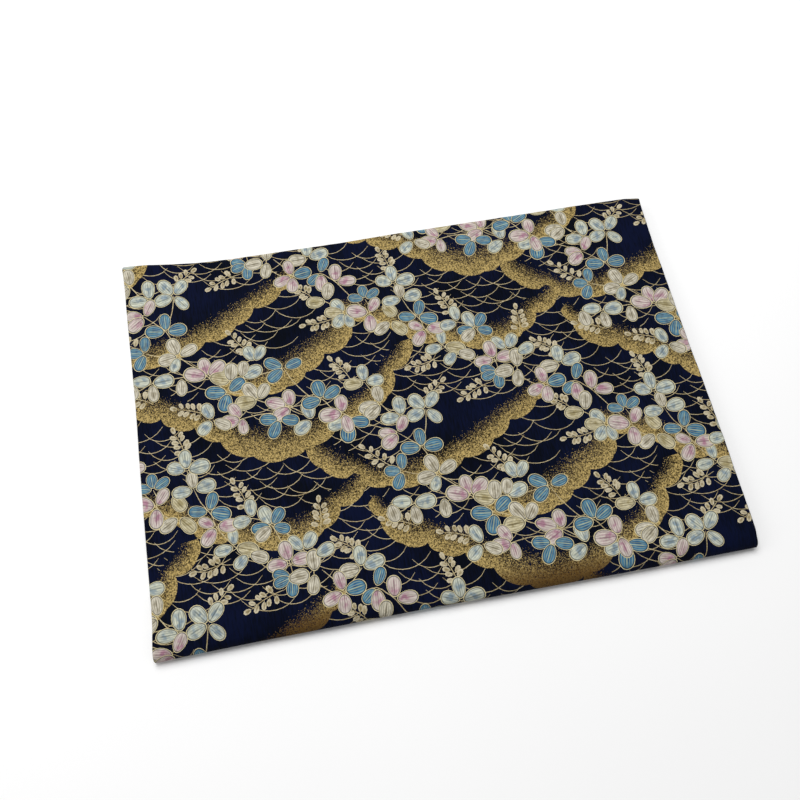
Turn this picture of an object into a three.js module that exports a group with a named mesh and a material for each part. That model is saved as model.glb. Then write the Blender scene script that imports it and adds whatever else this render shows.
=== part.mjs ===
// Folded furoshiki: a cotton wrapping cloth, folded in half and then in thirds, lying
// flat with its middle third on top. Millimetres, +Z up, +X to the right along the long
// side, +Y away from the viewer, origin on the floor under the middle of the stack.
import * as THREE from 'three';

// The cloth as it was cut and hemmed. It is one piece of printed cotton.
const clothWide = 680;      // along X, halved by the side fold
const clothLong = 700;      // along Y, in three panels
const ply = 1.0;            // one layer, with the slight crumple it takes when folded
const plyGap = 0.35;        // air between the two plies of the side fold
const panelGap = 0.35;      // air between the folded thirds
const foldedDepth = 235;    // near fold to far fold
const innerPlyShort = 1.5;  // the lower of the two free side edges lies this far back
const tuckClearance = 1.6;  // the tucked end stops this far behind the centre of the near fold

// Worked out from the sizes above
const doubled = 2 * ply + plyGap;
const halfDoubled = doubled / 2;
const pitch = doubled + panelGap;
const stackHeight = 3 * doubled + 2 * panelGap;
const sideX = clothWide / 4;                // the side fold is at -sideX, the free edges at +sideX
const farTurn = foldedDepth / 2 - pitch / 2 - halfDoubled;
const nearTurn = -foldedDepth / 2 + pitch + halfDoubled;
const tuckedEnd = nearTurn + tuckClearance;
const levelZ = (level) => halfDoubled + level * pitch;

// Steps of the mesh, drawn together towards the ends of each run by endCrowding, where
// 0 spaces them evenly
const endCrowding = 0.7;
const acrossSteps = 12;
const panelSteps = 12;
const foldSteps = 8;
const sideFoldSteps = 6;

// What is left of the cloth's length for the panel on the floor
const farFoldRun = Math.PI * pitch / 2;
const nearFoldRun = Math.PI * pitch;
const underRun = clothLong - (farTurn - tuckedEnd) - farFoldRun - (farTurn - nearTurn) - nearFoldRun;
const underEnd = nearTurn + underRun;

// The thirds, from the tucked end to the outer end: a panel runs along Y at its level,
// 0 being the floor, and a fold turns half round from one level to the next.
const course = [
  { kind: 'panel', level: 1, from: tuckedEnd, to: farTurn },
  { kind: 'fold', level: 1, toLevel: 2, at: farTurn, side: 1 },
  { kind: 'panel', level: 2, from: farTurn, to: nearTurn },
  { kind: 'fold', level: 2, toLevel: 0, at: nearTurn, side: -1 },
  { kind: 'panel', level: 0, from: nearTurn, to: underEnd },
];

// Where the stack isn't square. Round (x, y), fading over reach, the layers move by out
// along X and Y. Grip says which take part: all of them, the top ones or the low ones.
const strays = [
  { x: -171, y: 118, reach: 37, out: [0, 6.0], grip: 'all' },      // the far left corner juts out
  { x: -171, y: 118, reach: 10, out: [-0.9, 0], grip: 'all' },
  { x: 171, y: 118, reach: 7, out: [0.6, -1.6], grip: 'all' },     // the far right corner is drawn in
  { x: -171, y: -118, reach: 42, out: [0, -0.8], grip: 'all' },    // the near left corner spreads
  { x: -171, y: -118, reach: 13, out: [-1.7, 0], grip: 'all' },
  { x: -171, y: -118, reach: 11, out: [-0.8, -1.5], grip: 'low' }, // and shows a lip of the lower layers
  { x: -171, y: 24, reach: 30, out: [0.4, 0], grip: 'all' },       // the side fold isn't straight
  { x: -171, y: 94, reach: 24, out: [-0.4, 0], grip: 'all' },
  { x: 171, y: -36, reach: 26, out: [0.5, 0], grip: 'top' },       // nor are the free edges
  { x: 171, y: 70, reach: 34, out: [0.6, 0], grip: 'low' },
  { x: 171, y: -106, reach: 30, out: [-0.6, 0], grip: 'low' },
  { x: -28, y: -118, reach: 36, out: [0, 0.4], grip: 'all' },      // nor the near and far folds
  { x: 105, y: -118, reach: 44, out: [0, -0.3], grip: 'all' },
  { x: -38, y: 118, reach: 26, out: [0, -0.4], grip: 'all' },
];

// The soft rises and hollows of the face. The layers below follow in part, and the
// underside stays flat on the floor.
const swells = [
  { x: -150, y: -5, wide: 34, deep: 110, rise: 1.0 },   // the side fold holds the stack up
  { x: 0, y: -104, wide: 190, deep: 17, rise: 0.8 },    // so does the near fold
  { x: 30, y: 106, wide: 170, deep: 14, rise: 0.5 },
  { x: -70, y: 30, wide: 60, deep: 46, rise: -0.7 },
  { x: 62, y: -30, wide: 84, deep: 40, rise: -0.9 },
  { x: 20, y: 52, wide: 50, deep: 26, rise: 0.6 },
  { x: 150, y: 40, wide: 40, deep: 60, rise: 0.5 },
  { x: -40, y: -62, wide: 48, deep: 24, rise: 0.5 },
];

// How far along its run a step lies, from 0 to 1.
function stepShare(i, steps) {
  const even = i / steps;
  return THREE.MathUtils.lerp(even, (1 - Math.cos(Math.PI * even)) / 2, endCrowding);
}

// One stop for each step along the section, with the way the outer face looks there.
function sectionStops() {
  const stops = [];
  for (const part of course) {
    if (part.kind === 'panel') {
      const facing = part.level === 2 ? 1 : -1;
      for (let i = 0; i <= panelSteps; i += 1) {
        const y = THREE.MathUtils.lerp(part.from, part.to, stepShare(i, panelSteps));
        stops.push({ y, z: levelZ(part.level), ny: 0, nz: facing });
      }
    } else {
      const middle = (levelZ(part.level) + levelZ(part.toLevel)) / 2;
      const radius = Math.abs(levelZ(part.toLevel) - levelZ(part.level)) / 2;
      const startSign = Math.sign(levelZ(part.level) - middle);
      for (let i = 1; i < foldSteps; i += 1) {
        const turn = Math.PI * i / foldSteps;
        const ny = part.side * Math.sin(turn);
        const nz = startSign * Math.cos(turn);
        stops.push({ y: part.at + radius * ny, z: middle + radius * nz, ny, nz });
      }
    }
  }
  return stops;
}

// The two plies and the side fold that joins them, as one closed outline of x and n,
// where n is the distance from the middle of the doubled cloth.
function doubledOutline() {
  const outline = [];
  const foldX = -sideX + halfDoubled;
  const run = (fromX, toX, n) => {
    for (let i = 0; i <= acrossSteps; i += 1) {
      const x = THREE.MathUtils.lerp(fromX, toX, stepShare(i, acrossSteps));
      outline.push(new THREE.Vector2(x, n));
    }
  };
  const turn = (radius, fromAngle, toAngle) => {
    for (let i = 1; i < sideFoldSteps; i += 1) {
      const angle = THREE.MathUtils.lerp(fromAngle, toAngle, i / sideFoldSteps);
      outline.push(new THREE.Vector2(foldX + radius * Math.cos(angle), radius * Math.sin(angle)));
    }
  };
  run(sideX, foldX, halfDoubled);
  turn(halfDoubled, Math.PI / 2, Math.PI * 1.5);
  run(foldX, sideX - innerPlyShort, -halfDoubled);
  run(sideX - innerPlyShort, foldX, -plyGap / 2);
  turn(plyGap / 2, Math.PI * 1.5, Math.PI / 2);
  run(foldX, sideX, plyGap / 2);
  return outline;
}

function fade(distance, reach) {
  return Math.exp(-((distance / reach) ** 2));
}

// Moves a point of the square stack to where the real one has it.
function settle(point) {
  const height = point.z / stackHeight;
  const grips = { all: 1, top: height, low: (1 - height) ** 2 };
  const { x, y } = point;
  for (const stray of strays) {
    const share = fade(Math.hypot(x - stray.x, y - stray.y), stray.reach) * grips[stray.grip];
    point.x += stray.out[0] * share;
    point.y += stray.out[1] * share;
  }
  for (const swell of swells) {
    const share = fade(x - swell.x, swell.wide) * fade(y - swell.y, swell.deep);
    point.z += swell.rise * share * height;
  }
  return point;
}

function foldedCloth() {
  const stops = sectionStops();
  const outline = doubledOutline();
  const count = outline.length;
  const positions = [];
  for (const stop of stops) {
    for (const { x, y: n } of outline) {
      const point = settle(new THREE.Vector3(x, stop.y + n * stop.ny, stop.z + n * stop.nz));
      positions.push(point.x, point.y, point.z);
    }
  }
  const faces = [];
  for (let row = 0; row + 1 < stops.length; row += 1) {
    for (let i = 0; i < count; i += 1) {
      const next = (i + 1) % count;
      const a = row * count + i;
      const b = row * count + next;
      faces.push(a, b, b + count, a, b + count, a + count);
    }
  }
  // The two raw ends, closed strip by strip from the outer line of the outline to its
  // inner line, which holds the same number of points the other way round.
  const lastRow = (stops.length - 1) * count;
  for (let i = 0; i + 1 < count / 2; i += 1) {
    const [outer, outerNext, innerNext, inner] = [i, i + 1, count - 2 - i, count - 1 - i];
    faces.push(outer, innerNext, outerNext, outer, inner, innerNext);
    faces.push(lastRow + outer, lastRow + outerNext, lastRow + innerNext);
    faces.push(lastRow + outer, lastRow + innerNext, lastRow + inner);
  }
  const geometry = new THREE.BufferGeometry();
  geometry.setAttribute('position', new THREE.Float32BufferAttribute(positions, 3));
  geometry.setIndex(faces);
  geometry.computeBoundingBox();
  const { min, max } = geometry.boundingBox;
  geometry.translate(-(min.x + max.x) / 2, -(min.y + max.y) / 2, -min.z);
  geometry.computeVertexNormals();
  return geometry;
}

const printedCotton = new THREE.MeshStandardMaterial({ color: 0x10142e, roughness: 0.85, metalness: 0 });

const furoshiki = new THREE.Group();
const cloth = new THREE.Mesh(foldedCloth(), printedCotton);
cloth.name = 'cloth';
furoshiki.add(cloth);

export default furoshiki;
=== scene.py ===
# A folded furoshiki: one piece of printed cotton, folded in half and then in thirds.
import math

import bpy
import numpy as np
from mathutils import Matrix, Vector
from mathutils.geometry import delaunay_2d_cdt


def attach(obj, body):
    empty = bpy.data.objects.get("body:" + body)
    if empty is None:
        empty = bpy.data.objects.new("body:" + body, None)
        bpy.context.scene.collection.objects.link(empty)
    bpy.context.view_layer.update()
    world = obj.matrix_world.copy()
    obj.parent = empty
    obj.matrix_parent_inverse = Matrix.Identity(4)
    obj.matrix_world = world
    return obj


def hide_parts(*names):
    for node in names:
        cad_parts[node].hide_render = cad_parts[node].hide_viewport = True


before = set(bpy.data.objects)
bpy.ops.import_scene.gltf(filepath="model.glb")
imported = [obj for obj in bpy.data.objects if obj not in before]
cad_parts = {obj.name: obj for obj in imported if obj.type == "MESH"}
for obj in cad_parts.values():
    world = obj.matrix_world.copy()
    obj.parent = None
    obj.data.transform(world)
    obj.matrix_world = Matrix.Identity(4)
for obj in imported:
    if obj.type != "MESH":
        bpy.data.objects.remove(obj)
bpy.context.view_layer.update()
mm = 0.001


# How the cloth is folded, in millimetres, as the solid has it
stack = {
    "side": 170.0,       # half the folded width: the side fold is at -side
    "depth": 235.0,      # near fold to far fold
    "doubled": 2.35,     # two plies and the air between them
    "panelGap": 0.35,    # air between the folded thirds
    "height": 7.75,
    "innerShort": 1.5,   # the lower free side edge lies this far back
    "tuck": 1.6,         # the tucked end stops this far behind the near fold's centre
    "underRun": 231.7,   # the panel on the floor
    "cotton": 0.7,       # what one ply shows as its thickness
    "crumple": 0.3,      # how far the surface wanders, beside its main swells
    "nearSink": 0.3,     # how much of its height the stack loses in its last stretch, at the near fold
    "nearStretch": 14.0,
    "centring": (0.70, -2.68, 0),   # sets the whole stack's middle on the origin, as the solid's is
}
# How each ply's free side edge wanders on its own
freeEdge = {
    "start": 120.0,      # it begins at this x
    "over": 50.0,        # and is whole this much further on
    "reach": 0.45,
    "wave": 31.0,        # slowness of the wave in the lowest ply
    "waveStep": 5.0,     # how much slower it is in each ply above
    "shift": 1.7,        # how far the wave is moved from ply to ply
}
half = stack["doubled"] / 2
plyAt = half - stack["cotton"] / 2          # middle of a ply, from the middle of the doubled cloth
pitch = stack["doubled"] + stack["panelGap"]
farTurn = stack["depth"] / 2 - pitch / 2 - half
nearTurn = -stack["depth"] / 2 + pitch + half
foldX = -stack["side"] + half

# Where the stack isn't square: place, reach, shift along X and Y, and which layers move
strays = [
    (-171, 118, 37, 0, 6.0, "all"),
    (-171, 118, 10, -0.9, 0, "all"),
    (171, 118, 7, 0.6, -1.6, "all"),
    (-171, -118, 42, 0, -0.8, "all"),
    (-171, -118, 13, -1.7, 0, "all"),
    (-171, -118, 11, -0.8, -1.5, "low"),
    (-171, 24, 30, 0.4, 0, "all"),
    (-171, 94, 24, -0.4, 0, "all"),
    (171, -36, 26, 0.5, 0, "top"),
    (171, 70, 34, 0.6, 0, "low"),
    (171, -106, 30, -0.6, 0, "low"),
    (-28, -118, 36, 0, 0.4, "all"),
    (105, -118, 44, 0, -0.3, "all"),
    (-38, 118, 26, 0, -0.4, "all"),
]
# Soft rises and hollows of the face: place, half widths along X and Y, rise
swells = [
    (-150, -5, 34, 110, 1.0),
    (0, -104, 190, 17, 0.8),
    (30, 106, 170, 14, 0.5),
    (-70, 30, 60, 46, -0.7),
    (62, -30, 84, 40, -0.9),
    (20, 52, 50, 26, 0.6),
    (150, 40, 40, 60, 0.5),
    (-40, -62, 48, 24, 0.5),
]
# Finer waves of the face: length along X and Y, lean, start
waves = [
    (61, 47, 0.3, 0.4),
    (33, 39, -0.5, 2.1),
    (23, 19, 0.8, 4.0),
]

# The cloth lies flat as u, from the upper free side edge, and v, from the tucked end
lengths = [
    farTurn - (nearTurn + stack["tuck"]),
    math.pi * (pitch / 2 + plyAt),
    farTurn - nearTurn,
    math.pi * (pitch + plyAt),
    stack["underRun"],
]
marks = np.concatenate([[0], np.cumsum(lengths)])
foldU = stack["side"] - foldX
foldRun = math.pi * plyAt
clothU = round(foldU + foldRun + stack["side"] - stack["innerShort"] - foldX, 3)
clothV = round(float(marks[-1]), 3)
printTop = marks[2] - (stack["depth"] / 2 - farTurn)   # v at which the print's own y is 0


def section(v):
    # y, z and the way the outer side looks, along the thirds
    levels = [half + i * pitch for i in range(3)]
    y, z, ny, nz = (np.zeros_like(v) for _ in range(4))
    for part, (start, end) in enumerate(zip(marks[:-1], marks[1:])):
        m = (v >= start) & (v < end) if part < 4 else v >= start
        if part == 0:
            m = v < end
        share = (v[m] - start) / (end - start)
        if part in (1, 3):
            low, high = (1, 2) if part == 1 else (0, 2)
            centre, radius = (levels[low] + levels[high]) / 2, (levels[high] - levels[low]) / 2
            turn = share * math.pi
            ny[m] = np.sin(turn) * (1 if part == 1 else -1)
            nz[m] = -np.cos(turn) if part == 1 else np.cos(turn)
            y[m] = (farTurn if part == 1 else nearTurn) + radius * ny[m]
            z[m] = centre + radius * nz[m]
        else:
            begin, way = [(nearTurn + stack["tuck"], 1), None, (farTurn, -1), None, (nearTurn, 1)][part]
            y[m] = begin + way * (v[m] - start)
            z[m] = levels[[1, 0, 2, 0, 0][part]]
            nz[m] = 1 if part == 2 else -1
    return y, z, ny, nz


def fade(distance, reach):
    return np.exp(-((distance / reach) ** 2))


def settle(p):
    # the square stack's points, moved to where the real one has them; the floor side stays flat
    x, y = p[:, 0].copy(), p[:, 1].copy()
    height = p[:, 2] / stack["height"]
    grips = {"all": 1.0, "top": height, "low": (1 - height) ** 2}
    for sx, sy, reach, dx, dy, grip in strays:
        share = fade(np.hypot(x - sx, y - sy), reach) * grips[grip]
        p[:, 0] += dx * share
        p[:, 1] += dy * share
    rise = np.zeros_like(x)
    for sx, sy, wide, deep, lift in swells:
        rise += lift * fade(x - sx, wide) * fade(y - sy, deep)
    for wide, deep, lean, start in waves:
        wave = np.sin((x + lean * y) / wide * 2 * math.pi + start)
        rise += stack["crumple"] * wave * np.sin((y - lean * x) / deep * 2 * math.pi + 2 * start) / 2
    p[:, 2] += rise * height
    nearness = np.clip(1 - (y + stack["depth"] / 2) / stack["nearStretch"], 0, 1)
    p[:, 2] *= 1 - stack["nearSink"] * nearness**2
    return p + stack["centring"]


def folded(u, v, w):
    # flat cloth to folded cloth; w is the height over the ply's middle, on the printed side
    y, z, ny, nz = section(v)
    turn = np.clip((u - foldU) / plyAt, 0, math.pi)
    upper, lower = u < foldU, u > foldU + foldRun
    x = np.where(upper, stack["side"] - u, foldX - plyAt * np.sin(turn))
    x = np.where(lower, foldX + (u - foldU - foldRun), x)
    outX, outN = -np.sin(turn), np.cos(turn)
    n = plyAt * np.cos(turn) + w * outN
    level = np.floor(z / pitch) + 3 * lower
    free = np.clip((x - freeEdge["start"]) / freeEdge["over"], 0, 1) ** 2
    wave = np.sin(y / (freeEdge["wave"] + freeEdge["waveStep"] * level) + freeEdge["shift"] * level)
    x = x + w * outX + free * freeEdge["reach"] * wave * (ny == 0)
    return settle(np.stack([x, y + n * ny, z + n * nz], 1))


print("fold worked out:", round(clothU), "by", round(clothV), "mm flat")


# Camera, floor and light, as in a bright studio
seen = {
    "from": (-60.28, -132.13, 414.44),   # millimetres
    "azimuth": 11.458,   # degrees, like the next two
    "down": 71.082,
    "roll": 1.274,
    "pixels": 800,       # the picture's width
    "focalPixels": 716.59,
    "centreX": 366,      # where the lens looks, in pixels from the left
    "sensor": 36,
    "clipStart": 0.01,   # metres, like the sizes below
    "floor": 2.4,
    "floorLevel": -0.0003,   # just under the hem stitches of the lowest ply
    "roomLight": 0.32,
}
# Softboxes: name, place and width in metres, watts
softboxes = [
    ("softboxOver", (-0.2, 0.8, 1.4), 1.2, 25),
    ("softboxLeft", (-1.25, 0.35, 0.9), 0.8, 3.5),
]


def placeCamera():
    azimuth, down, roll = (math.radians(seen[k]) for k in ("azimuth", "down", "roll"))
    level = math.cos(down)
    ahead = Vector((math.sin(azimuth) * level, math.cos(azimuth) * level, -math.sin(down)))
    right = Vector((math.cos(azimuth), -math.sin(azimuth), 0))
    up = right.cross(ahead)
    across = right * math.cos(roll) + up * math.sin(roll)
    upward = up * math.cos(roll) - right * math.sin(roll)
    data = bpy.data.cameras.new("viewCamera")
    data.sensor_width = seen["sensor"]
    data.lens = seen["focalPixels"] / seen["pixels"] * seen["sensor"]
    data.shift_x = (seen["pixels"] / 2 - seen["centreX"]) / seen["pixels"]
    data.clip_start = seen["clipStart"]
    camera = bpy.data.objects.new("viewCamera", data)
    turn = Matrix((across, upward, -ahead)).transposed()
    camera.matrix_world = Matrix.Translation(Vector(seen["from"]) * mm) @ turn.to_4x4()
    bpy.context.scene.collection.objects.link(camera)
    bpy.context.scene.camera = camera


def addSoftbox(name, place, size, power):
    # a round softbox that faces the cloth
    data = bpy.data.lights.new(name, "AREA")
    data.shape = "DISK"
    data.size = size
    data.energy = power
    lamp = bpy.data.objects.new(name, data)
    lamp.location = place
    lamp.rotation_euler = (-Vector(place)).to_track_quat("-Z", "Y").to_euler()
    bpy.context.scene.collection.objects.link(lamp)


def linear(hexColour):
    # an sRGB hex colour as Blender's linear one
    parts = [int(hexColour[i:i + 2], 16) / 255 for i in (1, 3, 5)]
    return (*[p / 12.92 if p <= 0.04045 else ((p + 0.055) / 1.055) ** 2.4 for p in parts], 1)


def addNode(tree, kind, values=None, links=None, **settings):
    made = tree.nodes.new(kind)
    for name, value in settings.items():
        setattr(made, name, value)
    for name, value in (values or {}).items():
        made.inputs[name].default_value = value
    for name, source in (links or {}).items():
        tree.links.new(source, made.inputs[name])
    return made


def newMaterial(name):
    material = bpy.data.materials.new(name)
    material.use_nodes = True
    tree = material.node_tree
    return material, tree, tree.nodes["Principled BSDF"]


def maths(tree, operation, *values):
    # a Math node's result, from numbers and other nodes' outputs
    fixed = {i: v for i, v in enumerate(values) if isinstance(v, (int, float))}
    linked = {i: v for i, v in enumerate(values) if not isinstance(v, (int, float))}
    return addNode(tree, "ShaderNodeMath", fixed, linked, operation=operation).outputs[0]


def mapRange(tree, source, low, high, start=0, end=1, how="LINEAR"):
    values = {"From Min": low, "From Max": high, "To Min": start, "To Max": end}
    return addNode(tree, "ShaderNodeMapRange", values, {"Value": source}, interpolation_type=how).outputs[0]


def mixColours(tree, share, first, second, **settings):
    # from one colour to another, each a hex tone or another node's output
    values, links = {}, {0: share}
    for socket, colour in ((6, first), (7, second)):
        if isinstance(colour, str):
            values[socket] = linear(colour)
        else:
            links[socket] = colour
    return addNode(tree, "ShaderNodeMix", values, links, data_type="RGBA", **settings).outputs[2]


def noiseOn(tree, place, scale, detail, rough=0.5):
    values = {"Scale": scale, "Detail": detail, "Roughness": rough}
    return addNode(tree, "ShaderNodeTexNoise", values, {"Vector": place}).outputs["Fac"]


def readAttribute(tree, name, output):
    return addNode(tree, "ShaderNodeAttribute", attribute_name=name).outputs[output]


placeCamera()
bpy.ops.object.select_all(action="DESELECT")
bpy.ops.mesh.primitive_plane_add(size=seen["floor"], location=(0, 0, seen["floorLevel"]))
floor = bpy.context.object
bpy.ops.object.transform_apply(location=True, rotation=False, scale=False)
floor.name = "studioFloor"
for softbox in softboxes:
    addSoftbox(*softbox)
world = bpy.data.worlds.new("paleRoom")
world.use_nodes = True
room = world.node_tree.nodes["Background"]
room.inputs["Color"].default_value = (1, 1, 1, 1)
room.inputs["Strength"].default_value = seen["roomLight"]
bpy.context.scene.world = world
bpy.context.scene.view_settings.view_transform = "Standard"
print("camera, floor and lights placed")


# The print, in millimetres on the face: x from the side fold, y from the far fold towards the near one.
# Its places are charted to a few millimetres.
repeat = {
    "along": (141, 99),  # half drop: one copy lies this far along and down
    "down": (0, 198),    # and one this far down
    "copiesAlong": range(-3, 4),
    "copiesDown": range(-5, 6),
    "faceWide": 340.0,
    "margin": 6.0,       # a shape this far past the cloth is left out
    "showing": 4.0,      # how far in from its folds the tucked panel can be seen
}
leafSize = {
    "wide": 0.68,        # of its length
    "uneven": 0.05,      # how far that varies from leaf to leaf
    "round": 18,         # points round it
    "tip": 0.16,         # how much wider towards its tip
    "stalk": 1.0,
}
budSize = {
    "long": 4.6,
    "wide": 0.62,        # of its length
    "round": 8,
    "stalk": 1.1,
    "first": 0.24,       # the first pair's place along the spray
    "span": 0.7,         # and over how much of it the pairs go
    "stagger": 0.25,     # one side lies this share of a step ahead
    "spread": (72, 30),  # degrees off the spray at its foot, and how much less at its end
    "sway": 8,           # how far that varies
    "taper": (1.12, 0.28, 0.07),   # size at the foot, how much less at the end, and how uneven
    "stalkTaper": (1.3, 0.6),
    "endStalk": 0.2,
    "steps": 8,          # points along a spray
}
lineWide = {"stem": 0.5, "ripple": 0.37, "spray": 0.4, "ends": 0.5, "step": 3.0}

# Leaves round a node: x, y, then direction in degrees (0 along x, 90 towards the near fold), ink, length
sprigs = [
    (148, 44, [(-165, "blue", 10), (-95, "blue", 9), (-30, "blue", 10)]),
    (134, 51, [(-125, "sky", 11), (-170, "straw", 12), (132, "sky", 11), (75, "sky", 10)]),
    (158, 49, [(55, "straw", 11)]),
    (161, 62, [(150, "cream", 12), (50, "straw", 12)]),
    (149, 54, [(-162, "pink", 14), (-55, "pink", 11), (95, "pink", 12)]),
    (171, 48, [(178, "sky", 12), (-95, "cream", 10), (-10, "sky", 12)]),
    (178, 62, [(-170, "blue", 11), (-70, "blue", 11), (18, "blue", 12)]),
    (190, 84, [(-92, "sky", 10), (172, "sky", 11), (20, "straw", 13)]),
    (181, 71, [(-150, "pink", 10), (5, "pink", 12), (130, "pink", 12)]),
    (197, 89, [(140, "sky", 10), (25, "cream", 11)]),
    (202, 70, [(-95, "sky", 11), (172, "sky", 11)]),
    (212, 76, [(-112, "sky", 12), (178, "blue", 11), (-52, "blue", 11), (22, "blue", 10),
               (145, "cream", 11)]),
    (228, 93, [(-130, "sky", 11), (-55, "sky", 11)]),
    (219, 98, [(-100, "pink", 12), (178, "pink", 12), (-8, "pink", 11)]),
    (219, 106, [(-160, "blue", 10), (165, "blue", 10), (95, "blue", 10)]),
    (216, 107, [(-4, "cream", 12)]),
    (232, 106, [(-88, "cream", 12), (105, "cream", 11)]),
    (138, 99, [(-92, "sky", 11), (182, "straw", 12), (-2, "sky", 11)]),
    (145, 114, [(-95, "cream", 11), (172, "cream", 13), (145, "cream", 12)]),
    (103, 117, [(-100, "sky", 12), (150, "sky", 12)]),
    (111, 105, [(-100, "blue", 12), (-28, "blue", 12), (172, "blue", 12)]),
    (124, 121, [(170, "sky", 12), (15, "blue", 12), (100, "blue", 13)]),
    (122, 116, [(-92, "pink", 11), (182, "pink", 14), (80, "pink", 12)]),
    (171, 122, [(-130, "sky", 12), (-50, "sky", 12), (160, "sky", 12), (50, "sky", 11)]),
    (156, 124, [(-92, "sky", 12), (180, "sky", 12)]),
    (152, 134, [(-170, "pink", 11), (-60, "pink", 11), (145, "pink", 12)]),
    (164, 145, [(-172, "blue", 12), (-90, "blue", 11), (-4, "blue", 12)]),
    (150, 157, [(-85, "blue", 10), (190, "blue", 10), (120, "blue", 11)]),
    (170, 162, [(-110, "cream", 12), (-25, "cream", 12), (172, "cream", 12), (115, "sky", 10)]),
    (139, 174, [(5, "sky", 12), (80, "cream", 11)]),
    (152, 177, [(-3, "sky", 13), (85, "cream", 11)]),
    (170, 176, [(92, "cream", 11)]),
    (186, 178, [(-100, "pink", 12), (-162, "pink", 14), (-38, "pink", 13), (18, "straw", 13)]),
    (199, 184, [(-80, "cream", 12)]),
    (197, 190, [(-172, "blue", 13), (-35, "blue", 12), (110, "blue", 12)]),
    (215, 173, [(-110, "sky", 11), (-55, "sky", 11)]),
    (206, 182, [(-20, "sky", 13), (-75, "cream", 10)]),
    (232, 180, [(-150, "blue", 12), (145, "blue", 12), (-15, "blue", 11)]),
    (214, 198, [(-120, "cream", 13), (-55, "cream", 11), (178, "straw", 13)]),
    (217, 199, [(22, "pink", 13)]),
    (203, 208, [(-120, "pink", 11), (175, "pink", 12)]),
    (233, 206, [(-95, "pink", 11), (155, "pink", 12)]),
    (186, 206, [(-110, "sky", 11), (140, "sky", 11), (30, "cream", 11)]),
    (117, 207, [(178, "cream", 12), (-14, "sky", 13), (-90, "sky", 12)]),
    (105, 218, [(-100, "pink", 11), (160, "pink", 12), (95, "pink", 11), (-8, "blue", 12)]),
    (123, 219, [(140, "blue", 10), (-65, "blue", 11), (92, "pink", 12)]),
    (132, 227, [(-85, "pink", 12), (2, "pink", 12)]),
    (124, 41, [(-75, "cream", 12), (182, "straw", 12)]),
    (168, 36, [(-160, "sky", 11), (-8, "sky", 13), (-92, "sky", 12)]),
    (233, 97, [(-20, "sky", 12)]),
    (203, 207, [(88, "pink", 10)]),
    (225, 212, [(-172, "blue", 11), (120, "blue", 12), (15, "blue", 11)]),
]

# Bud sprays: from the stalk's foot to its end, how far it bows, and how many pairs of buds
sprays = [
    (200, 67, 194, 49, 1.5, 4),
    (132, 52, 109, 55, -1.5, 5),
    (130, 96, 121, 82, 1.0, 4),
    (187, 90, 168, 94, -1.0, 4),
    (214, 112, 195, 119, 1.0, 4),
    (171, 116, 183, 107, 0.5, 3),
    (150, 157, 131, 140, -1.0, 4),
    (216, 169, 203, 153, -1.0, 4),
    (152, 190, 135, 183, 1.0, 4),
    (119, 201, 106, 190, 1.0, 4),
    (184, 203, 166, 196, 1.0, 4),
    (238, 85, 240, 68, 1.0, 4),
    (116, 38, 107, 30, 0.8, 3),
    (168, 227, 163, 211, 1.0, 4),
]

# Stems that join the nodes
stems = [
    [(148, 44), (150, 50), (149, 54), (153, 60), (161, 64)],
    [(134, 51), (142, 53), (149, 54)],
    [(171, 48), (174, 56), (178, 62), (180, 66), (181, 71), (190, 84), (197, 89)],
    [(181, 71), (192, 71), (202, 70), (208, 73), (212, 76), (216, 86), (219, 98), (220, 106)],
    [(212, 76), (222, 84), (228, 93), (232, 102), (231, 109), (237, 116), (245, 121)],
    [(91, 81), (94, 88), (99, 96), (105, 103), (111, 105), (116, 112), (122, 116), (131, 123), (143, 129),
     (152, 134)],
    [(138, 99), (142, 107), (145, 114), (151, 122), (156, 127)],
    [(130, 96), (138, 99)],
    [(152, 134), (159, 140), (164, 145), (168, 154), (170, 162), (178, 170), (186, 178), (197, 190)],
    [(171, 122), (169, 132), (166, 140), (164, 145)],
    [(150, 157), (158, 160), (170, 162)],
    [(135, 177), (144, 180), (152, 177), (170, 176), (186, 178)],
    [(197, 190), (206, 193), (214, 198), (224, 203), (233, 206), (242, 213)],
    [(206, 182), (215, 182), (232, 180)],
    [(95, 204), (101, 211), (105, 218), (114, 220), (123, 219), (128, 223), (132, 227), (139, 238),
     (149, 252)],
    [(117, 207), (112, 212), (105, 218)],
    [(116, 38), (124, 42), (134, 51)],
    [(168, 36), (171, 48)],
    [(225, 212), (233, 206)],
    [(203, 208), (214, 207), (225, 208)],
    [(186, 206), (192, 211), (203, 208)],
    [(231, 109), (222, 107), (214, 112)],
]

# Drifts of gold dust: the points of the scalloped lower edge, then the line where the dust ends above
drifts = [
    ([(95, 124), (97, 133), (104, 147), (122, 155), (141, 164), (166, 162), (187, 155), (207, 147),
      (219, 137), (238, 128), (247, 119)],
     [(101, 122), (106, 132), (122, 143), (140, 153), (160, 150), (180, 145), (200, 136), (220, 126),
      (240, 116)]),
    ([(-14, 73), (-9, 82), (1, 99), (15, 101), (20, 107), (34, 110), (48, 121), (66, 133), (86, 137),
      (98, 132), (116, 125), (134, 116), (150, 110), (156, 94), (169, 86), (170, 76)],
     [(-8, 70), (2, 82), (25, 92), (50, 107), (75, 116), (100, 118), (112, 113), (130, 107), (148, 92),
      (160, 80)]),
    ([(52, 88), (74, 94), (92, 93), (104, 86), (117, 76), (133, 70), (136, 60)],
     [(55, 79), (80, 77), (100, 68), (118, 59), (130, 52)]),
    ([(-8, 150), (4, 158), (16, 160), (27, 170), (36, 178), (48, 178), (62, 185), (80, 187), (100, 182),
      (111, 171), (126, 164), (129, 157)],
     [(-8, 141), (8, 146), (22, 152), (34, 161), (50, 168), (70, 173), (90, 172), (104, 165), (122, 156)]),
]
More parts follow.
